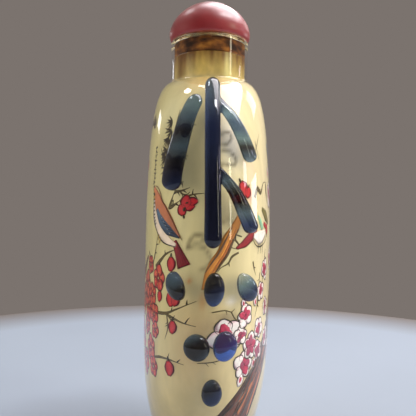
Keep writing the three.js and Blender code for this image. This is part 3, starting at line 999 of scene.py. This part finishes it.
def pine_and_marks(ink):
    """Ink tufts high on the left, and a column of short marks that are no letters."""
    for s, z, angle, reach in [
        (-6.6, 55.4, 200, 2), (-6.4, 54, 215, 2.3), (-7.2, 53, 235, 2),
        (-7.4, 51.2, 215, 2), (-7.6, 50, 200, 1.9), (-7.2, 48.6, 230, 1.9),
        (-4.2, 54.4, 300, 2.2), (-4.6, 50.4, 290, 2.4), (-5, 49, 200, 1.9),
    ]:
        needles(ink, (s, z), angle, 110, reach, 7)
    ink.begin(1)
    ink.stroke([(-9.6, 51.6), (-8.8, 50.2), (-8.9, 49.4)], [0.1, 0.22, 0.1], INK * 1.5)
    ink.stroke([(-5, 57), (-5.6, 54.4), (-5.9, 51), (-5.4, 48.4)], [0.14, 0.34, 0.3, 0.14], INK * 1.5)
    for row in range(10):
        z = 52 - 0.68 * row
        ink.begin(1)
        for k in range(3):
            lean = rng.uniform(-25, 25) + (80 if k == 2 else 0)
            place = (-11.7 + rng.uniform(-0.25, 0.25), z - 0.15 * k)
            ink.mark(place, lean, rng.uniform(0.5, 1.3), [(-0.5, 0), (0.5, 0)], [0.12, 0.2, 0.1], INK)


def broad_faces(twigs, trunks, reds, whites, birds, ink):
    """The pictures on the two broad faces, which carry on from the narrow side."""
    trunk(trunks, [(16, 24.2), (20, 28.6), (25, 31), (30, 36.5), (35, 40), (40, 46)],
          [4, 3.6, 3, 2.6, 1.8, 0.8])
    trunk(trunks, [(-42, 12), (-37, 18), (-31, 21), (-25.5, 26.5), (-19, 31), (-14, 35)],
          [4.6, 3.8, 3.2, 2.4, 1.5, 0.7])
    for path, start in [
        ([(22, 29.6), (21.6, 35), (18.4, 40), (17, 46)], 0.8),
        ([(27, 33), (26, 39), (28, 45), (26.4, 52)], 0.8),
        ([(33, 38.6), (38, 36), (42, 30)], 0.7),
        ([(24, 30.6), (29, 27), (35, 26), (40, 21)], 0.8),
        ([(30, 26.6), (32, 21), (30, 16)], 0.55),
        ([(35, 40), (36, 46), (33.6, 51)], 0.6),
        ([(-33, 20), (-34, 28), (-38, 34), (-37, 42)], 0.8),
        ([(-28, 24), (-27, 31), (-30, 37), (-28, 45)], 0.8),
        ([(-30, 37), (-24, 40), (-20, 46)], 0.5),
        ([(-24, 27.6), (-19, 25), (-15, 20)], 0.6),
        ([(-36, 18.6), (-29, 15), (-22, 15.6)], 0.6),
    ]:
        twig(twigs, path, start, 0.2, 4)
    draw_each(white_blossom, whites, [
        (17.4, 45, 4.6, 10), (20.6, 38.6, 4.8, 40), (17.6, 34.6, 4.2, 25),
        (27.6, 44, 5, 5), (25.4, 49.6, 4.4, 50), (29.2, 40.6, 3.6, 33),
        (34.8, 47.6, 4.8, 12), (37.8, 42.6, 4.2, 64), (41.6, 32, 4.8, 20),
        (38.6, 27.4, 4.4, 44), (33.4, 28.6, 3.8, 8), (31.4, 19.6, 4.8, 30),
        (28.8, 23.4, 4.2, 58), (36.6, 21, 4.6, 15), (22.8, 22.4, 4.6, 5),
        (18, 19.4, 4.2, 35), (22.4, 16.6, 4, 61),
    ])
    draw_each(white_bud, whites, [
        (16.6, 48.6, 1.8, 80), (23.8, 53.4, 1.7, 100), (27.6, 53, 1.8, 60), (33.2, 52.4, 1.9, 110),
        (42.8, 36.6, 1.7, 40), (27, 18, 1.6, 230), (40.6, 18.4, 1.8, 290),
    ])
    draw_each(red_blossom, reds, [
        (-36.8, 43, 4.8, 0), (-38.4, 37.4, 4.4, 30), (-34.6, 31, 4.8, 50),
        (-38, 27.6, 4.2, 10), (-30.6, 33, 4.4, 66), (-28.6, 45.8, 4.8, 22),
        (-31.4, 40.6, 4.2, 45), (-20.6, 46.4, 4.6, 8), (-24.4, 39.2, 4, 30),
        (-22, 34.4, 4.6, 60), (-18.2, 23, 4.6, 14), (-22.6, 15.4, 4.8, 40),
        (-28.4, 13.6, 4.2, 28), (-26.4, 20.4, 4, 4),
    ])
    draw_each(red_bud, reds, [
        (-35.6, 46.4, 1.9, 80), (-27.2, 49.8, 1.8, 60), (-18.4, 49.6, 1.9, 50),
        (-40.6, 32.6, 1.8, 150), (-32.6, 25.2, 1.6, 120), (-18.6, 13.6, 1.8, 340),
    ])
    bird(birds, (17.8, 53.4), 14, -38, 1, BIRD_BLUE * 1.2, BIRD_CREAM, BIRD_NAVY * 1.6, TAIL_RED)
    bird(birds, (-23.4, 55.6), 13, -128, -1, BIRD_ORANGE, BIRD_CREAM, BIRD_BLUE, TAIL_RED)
    for k in range(5):
        needles(ink, (-16 - 1.6 * k, 55.5 + 0.5 * (k % 2)), 60 + 20 * k, 120, 2.3, 9)


def far_side(twigs, reds, whites):
    """A few plain twigs in bud behind the far overlay."""
    for turn in (-1, 1):
        for low in (18, 30, 44):
            root = turn * (HALF_ROUND - 8.5)
            tip = turn * (HALF_ROUND - 1.8)
            middle = (root + tip) / 2
            twig(twigs, [(root, low), (middle, low + 2.4), (tip, low + 3.2)], 0.5, 0.16, 2)
            blossom, on = (white_blossom, whites) if turn > 0 else (red_blossom, reds)
            blossom(on, (middle, low + 3.6), 4, low)


def painting():
    twigs = Painting("painted_twigs")
    trunks = Painting("painted_boughs")
    reds = Painting("painted_red_blossom", 0.4)
    whites = Painting("painted_white_blossom", 0.45)
    birds = Painting("painted_birds", 0.45)
    ink = Painting("painted_pine_and_marks")
    front_twigs(twigs)
    front_trunks(trunks)
    front_blossoms(reds, whites)
    front_birds(birds)
    pine_and_marks(ink)
    broad_faces(twigs, trunks, reds, whites, birds, ink)
    far_side(twigs, reds, whites)
    for layer in (twigs, trunks, reds, whites, birds, ink):
        layer.finish()


# ---- Overlay ----

OVERLAY_SEAT = -0.06                # the overlay is fused on, so its back lies this far in the glass
# Each rod's path, half widths, heights, and the share of its length that each end rounds over.
STEM = (
    [(0.5, 62.4), (0.52, 58), (0.55, 50), (0.65, 43), (0.7, 37.2)],
    [1.2, 1.12, 1.1, 1.12, 1.22], [1.35, 1.3, 1.3], 0.06,
)
LEAF = (
    [(-1.6, 59.6), (-2.9, 56.5), (-4, 52.4), (-4.9, 48.2), (-5.2, 45.1)],
    [1.15, 1.25, 1.35, 1.35], [0.55, 0.75, 1, 1.15], 0.1,
)
UPPER_TWIG = (
    [(0.9, 59.3), (2, 57.6), (3.5, 55.6), (4.9, 52.9), (6.2, 49.4)],
    [0.6, 0.9, 1, 1], [0.5, 0.7, 1], 0.1,
)
LOWER_TWIG = (
    [(0.9, 48.3), (2.2, 46.7), (3.6, 44.9), (4.9, 42.4), (6.3, 39.2)],
    [0.62, 0.8, 1, 1.05], [0.9, 1, 1.05], 0.1,
)
# Each drop's middle (y, z), length, widths at its top and foot, lean, and tones from upper left
# to lower right.
DROPS = {
    "upper_left": (-4.2, 31.9, 3.9, 2, 2.4, -1, (SLATE, SLATE, DUSK, DEEP)),
    "upper_middle": (0.9, 31.7, 4.6, 2.7, 2.7, 0.25, (DUSK, DUSK, NAVY, COBALT)),
    "upper_right": (5.4, 31.6, 4.1, 2.2, 2.5, -1.4, (PALE, TEAL, NAVY, DEEP)),
    "middle_left": (-1.3, 23.8, 3.6, 3.4, 3.5, -0.9, (TEAL, DUSK, DUSK, SLATE)),
    "middle_right": (2.4, 23.9, 4.1, 3.1, 3.1, 0.5, (SLATE, SLATE, COBALT, COBALT)),
    "lowest": (0.7, 17.5, 3.7, 2.6, 2.8, 0.3, (SLATE, DUSK, NAVY, NAVY)),
}
FAR_DROPS = {
    "upper": (0.9, 31.7, 4.6, 2.7, 2.7, 0, (TEAL, SLATE, NAVY, DEEP)),
    "middle": (0.6, 23.8, 3.8, 3.1, 3.1, 0, (SLATE, NAVY, NAVY, COBALT)),
    "lowest": (0.5, 17.5, 3.7, 2.8, 2.8, 0, (SLATE, DUSK, NAVY, NAVY)),
}
DROP_HEIGHT = 1.4
PAD_SECTIONS = 32
PAD_ROWS = 100
MELT_GRAIN = 0.11


def outside(side, y, z, lift):
    """Points of the bottle's outer surface on a narrow side, at y and z, moved out by lift."""
    def surface(y, z):
        across = np.clip((y - axis_shift(z)) / body_half_depth(z), -0.999, 0.999)
        return np.stack([side * body_half_length(z) * np.sqrt(1 - across ** 2), y, z], -1)
    return lifted(surface, y, z, 0.02, side * np.asarray(lift))


def pad(side, path, half_widths, heights, round_ends):
    """Points and faces of a rounded rod of glass on the bottle: half_widths and heights are
    spread evenly along it, and round_ends is the share of its length that each end rounds over."""
    along = eased(0, 1, PAD_ROWS)[1:-1]
    line, way = smooth_path(path, 200)
    middle, ahead = (
        np.stack([evenly(run[:, k], along) for k in (0, 1)], 1) for run in (line, way)
    )
    from_end = np.clip(np.minimum(along, 1 - along) / round_ends, 0, 1)
    size = np.sqrt(1 - (1 - from_end) ** 2)
    wide = evenly(half_widths, along) * size
    tall = evenly(heights, along) * size ** 0.8
    turn = 2 * np.pi * np.arange(PAD_SECTIONS) / PAD_SECTIONS
    rise = np.clip(np.sin(turn), 0, 1) ** 0.85
    out = np.cos(turn)
    y = middle[:, :1] + ahead[:, 1:] * wide[:, None] * out
    z = middle[:, 1:] - ahead[:, :1] * wide[:, None] * out
    rings = outside(side, y, z, OVERLAY_SEAT + (tall[:, None] - OVERLAY_SEAT) * rise)
    ends = [outside(side, *line[k], OVERLAY_SEAT / 2) for k in (0, -1)]
    points, faces = skin(list(rings), *ends)
    if side > 0:
        faces = [tuple(reversed(face)) for face in faces]
    return points, faces


def fused(parts):
    """Parts melted into one body: remeshed with small voxels and smoothed."""
    points = []
    faces = []
    for part_points, part_faces in parts:
        start = sum(len(p) for p in points)
        points.append(part_points)
        faces += [tuple(start + i for i in face) for face in part_faces]
    mesh = bpy.data.meshes.new("melt_work")
    mesh.from_pydata((np.concatenate(points) * MM).tolist(), [], faces)
    work = new_object("melt_work", mesh)
    remesh = work.modifiers.new("melt", "REMESH")
    remesh.mode = "VOXEL"
    remesh.voxel_size = MELT_GRAIN * MM
    smooth = work.modifiers.new("smooth", "SMOOTH")
    smooth.factor = 0.5
    smooth.iterations = 8
    done = bpy.data.meshes.new_from_object(work.evaluated_get(bpy.context.evaluated_depsgraph_get()))
    bpy.data.objects.remove(work)
    coordinates = np.empty(len(done.vertices) * 3)
    done.vertices.foreach_get("co", coordinates)
    return coordinates.reshape(-1, 3) / MM, [tuple(p.vertices) for p in done.polygons]


def drop(side, y, z, length, top_width, foot_width, lean):
    half = length / 2
    path = [(y + lean / 2, z + half), (y, z), (y - lean / 2, z - half)]
    return pad(side, path, [top_width / 2, foot_width / 2], [DROP_HEIGHT] * 2, 0.5)


def branch_tones(points):
    """Depth of colour on the branched stem: navy, bluer on its left flank, with teal twigs."""
    y, z = points[:, 1], points[:, 2]
    stem = blended((z - 40) / 22, DEEP, DEEP, NAVY, SLATE)
    flank = np.clip((0.3 - y) / 0.9, 0, 1)[:, None]
    stem = stem + (COBALT * 0.6 - stem) * 0.5 * flank
    upper = blended((59 - z) / 10, NAVY, SLATE, TEAL, SLATE, SLATE,
                    TEAL, DUSK, SLATE, TEAL)
    lower = blended((48 - z) / 9, DEEP, SLATE, DUSK, DUSK, SLATE, NAVY,
                    DEEP)
    twigs = np.where((z > 48.6)[:, None], upper, lower)
    return stem + (twigs - stem) * np.clip((y - 1.7) / 0.5, 0, 1)[:, None]


def leaf_tones(points):
    """Depth of colour down the long leaf, in bands."""
    return blended((60 - points[:, 2]) / 15, TEAL, TEAL, SLATE, DUSK, SLATE,
                   DUSK, DEEP, NAVY)


def drop_tones(points, tones):
    """Depth of colour across a drop, from its upper left to its lower right."""
    middle = (points.min(0) + points.max(0)) / 2
    reach = np.ptp(points[:, 2]) / 2
    y, z = points[:, 1] - middle[1], points[:, 2] - middle[2]
    return blended(0.5 + (0.5 * y - 0.85 * z) / reach / 2, *tones)


def overlay():
    glass = blue_glass("branch_blue_glass", 0.05)
    leaf_glass = blue_glass("leaf_blue_glass", 0.1)
    drop_glass = blue_glass("drop_blue_glass", 0.1)
    branched = fused([pad(1, *STEM), pad(1, *UPPER_TWIG), pad(1, *LOWER_TWIG)])
    for name, stands_for, solid in (
        ("overlay_branch", "overlay_branched_stem", branched),
        ("overlay_far_branch", "overlay_far_stem", pad(-1, *STEM)),
    ):
        add_piece(name, solid, glass, [stands_for], branch_tones(solid[0]))
    for side, far in ((1, ""), (-1, "far_")):
        solid = pad(side, *LEAF)
        add_piece(f"overlay_{far}long_leaf", solid, leaf_glass,
                  [f"overlay_{far}leaf"], leaf_tones(solid[0]))
    for side, far, drops in ((1, "", DROPS), (-1, "far_", FAR_DROPS)):
        for row, (*sizes, tones) in drops.items():
            solid = drop(side, *sizes)
            add_piece(f"overlay_{far}dew_{row}", solid, drop_glass,
                      [f"overlay_{far}drop_{row}"], drop_tones(solid[0], tones))


# ---- Stopper ----


LATHE_COUNT = 96


def lathe(profile):
    """Points and faces of a solid turned about Z, from (radius, height) points between its poles."""
    rings = [oval(radius, radius, z, LATHE_COUNT) for radius, z in profile[1:-1]]
    return skin(rings, (0, 0, profile[0][1]), (0, 0, profile[-1][1]))


def stopper():
    widest_z = CAP_SEAT_Z + CAP_BULGE
    dome = CAP_TOP_Z - widest_z
    profile = [(0, CAP_SEAT_Z)]
    profile += [(CAP_SEAT_RADIUS * share, CAP_SEAT_Z) for share in (0.4, 0.8, 0.97)]
    for angle in np.radians(np.linspace(4, 90, 16)):
        radius = CAP_SEAT_RADIUS + (CAP_RADIUS - CAP_SEAT_RADIUS) * math.sin(angle)
        profile.append((radius, widest_z - CAP_BULGE * math.cos(angle)))
    for angle in np.radians(np.linspace(2, 88, 44)):
        radius = CAP_RADIUS * math.cos(angle) ** (2 / CAP_FULLNESS)
        profile.append((radius, widest_z + dome * math.sin(angle) ** (2 / CAP_FULLNESS)))
    profile.append((0, CAP_TOP_Z))
    add_piece("stopper_dome", lathe(profile), coral(), ["stopper_cap"])
    tight = BORE_RADIUS + WASH_LIFT
    profile = [(0, PLUG_BOTTOM_Z), (tight - 0.9, PLUG_BOTTOM_Z), (tight - 0.35, PLUG_BOTTOM_Z + 0.1)]
    profile += [(tight, z) for z in np.linspace(PLUG_BOTTOM_Z + 0.4, RIM_Z - RIM_EDGE, 10)]
    profile += [(tight - 0.3, RIM_Z), (0, RIM_Z)]
    add_piece("stopper_cork", lathe(profile), cork(), ["stopper_plug"])


# ---- Camera, floor and light ----

VIEW_DISTANCE = 93
VIEW_HEIGHT = 42.7
VIEW_ROLL = 0.6
LENS = 45
SENSOR = 36
FLOOR_RADIUS = 136


def camera():
    data = bpy.data.cameras.new("camera")
    data.lens = LENS
    data.sensor_width = SENSOR
    data.clip_start = MM
    eye = new_object("camera", data)
    eye.location = Vector((VIEW_DISTANCE, 0, VIEW_HEIGHT)) * MM
    eye.rotation_mode = "QUATERNION"
    level = Vector((-1, 0, 0)).to_track_quat("-Z", "Y")
    eye.rotation_quaternion = level @ Quaternion((0, 0, 1), math.radians(VIEW_ROLL))
    bpy.context.scene.camera = eye


def soft_light(name, azimuth, elevation, width, height, radiance, colour=(1, 1, 1),
               mirrored=True, shape="RECTANGLE", distance=0.6):
    """A soft box aimed at the bottle. Azimuth is from +X towards +Y, and sizes are in metres.
    mirrored says whether glossy surfaces show it. None of the lamps shows through glass."""
    data = bpy.data.lights.new(name, "AREA")
    data.shape = shape
    data.size = width
    data.size_y = height
    data.energy = radiance * math.pi * width * height
    data.color = colour
    lamp = new_object(name, data)
    lamp.visible_glossy = mirrored
    lamp.visible_transmission = False
    a, e = math.radians(azimuth), math.radians(elevation)
    way = Vector((math.cos(e) * math.cos(a), math.cos(e) * math.sin(a), math.sin(e)))
    lamp.location = way * distance + Vector((0, 0, VIEW_HEIGHT * MM))
    lamp.rotation_mode = "QUATERNION"
    lamp.rotation_quaternion = (-way).to_track_quat("-Z", "Y")


def lights():
    """Wide fills that no surface mirrors, and windows and lamps that the glass shows."""
    soft_light("right_side", 72, 14, 0.4, 0.6, 3.7, (1, 0.98, 0.94), False)
    soft_light("left_side", -80, 12, 0.4, 0.6, 3, (1, 0.99, 0.93), False)
    soft_light("front_fill", 10, 12, 0.5, 0.5, 1.9, (1, 0.98, 0.95), False, distance=0.8)
    soft_light("right_window", 138, 30, 0.13, 0.15, 2.2, (1, 0.99, 0.97))
    soft_light("overhead", 132, 62, 0.6, 0.42, 5.5, (1, 0.92, 0.95))
    soft_light("left_lamp", -132, 58, 0.09, 0.09, 8, shape="ELLIPSE")
    soft_light("neck_light", 66, 16, 0.05, 0.3, 8, (1, 0.96, 0.7))
    soft_light("lilac_strip", 103, 17, 0.07, 0.12, 5, (0.96, 0.84, 1))
    soft_light("left_strip", -142, 18, 0.08, 0.05, 3)
    soft_light("right_strip", 122, 5, 0.12, 0.1, 3.5)
    for name, azimuth, elevation in (("high_lamp", 66, 66), ("second_high_lamp", 84, 58)):
        soft_light(name, azimuth, elevation, 0.06, 0.09, 24, shape="ELLIPSE")


def world():
    """A plain grey-brown room, a little lighter overhead and darker behind the camera."""
    made = bpy.data.worlds.new("room")
    made.use_nodes = True
    tree = made.node_tree
    where = tree.nodes.new("ShaderNodeTexCoord")
    split = tree.nodes.new("ShaderNodeSeparateXYZ")
    tree.links.new(where.outputs["Generated"], split.inputs["Vector"])
    wall_tone, top_tone = srgb(123, 115, 110), srgb(160, 154, 150)
    colour = ramp(tree, split.outputs["Z"], (0, wall_tone), (0.45, wall_tone), (0.9, top_tone))
    dimmer = ramp(tree, split.outputs["X"], (0, grey(1)), (0.6, grey(0.3)))
    tree.links.new(multiplied(tree, colour, dimmer), tree.nodes["Background"].inputs["Color"])
    bpy.context.scene.world = made


def floor():
    """A pale table top that fades into the room at its edge."""
    mesh = bpy.data.meshes.new("floor")
    builder = bmesh.new()
    bmesh.ops.create_circle(builder, cap_ends=True, radius=FLOOR_RADIUS * MM, segments=128)
    builder.to_mesh(mesh)
    builder.free()
    top = new_object("floor", mesh)
    material, tree, shader = new_material("floor")
    clouds = ramp(tree, noise(tree, 14, 2), (0.3, grey(0.92)), (0.7, grey(1)))
    where = tree.nodes.new("ShaderNodeTexCoord")
    length = tree.nodes.new("ShaderNodeVectorMath")
    length.operation = "LENGTH"
    spread = tree.nodes.new("ShaderNodeMapRange")
    set_values(spread, From_Max=FLOOR_RADIUS * MM)
    tree.links.new(where.outputs["Object"], length.inputs[0])
    tree.links.new(length.outputs["Value"], spread.inputs["Value"])
    table, edge = srgb(154, 166, 180), srgb(112, 106, 102)
    colour = ramp(tree, spread.outputs["Result"], (0.8, table), (1, edge))
    tree.links.new(multiplied(tree, colour, clouds), shader.inputs["Base Color"])
    set_values(shader, Roughness=0.6)
    mesh.materials.append(material)


def render_quality():
    """Glass settings: lamps reach the paint straight through it, so caustics aren't needed."""
    scene = bpy.context.scene
    scene.cycles.use_denoising = True
    scene.cycles.caustics_reflective = False
    scene.cycles.caustics_refractive = False
    scene.cycles.max_bounces = 16
    scene.cycles.transmission_bounces = 14
    scene.cycles.transparent_max_bounces = 24
    scene.view_settings.view_transform = "Standard"


camera()
glass_bottle()
painted_wash()
amber_neck_coat()
painting()
overlay()
stopper()
lights()
world()
floor()
render_quality()
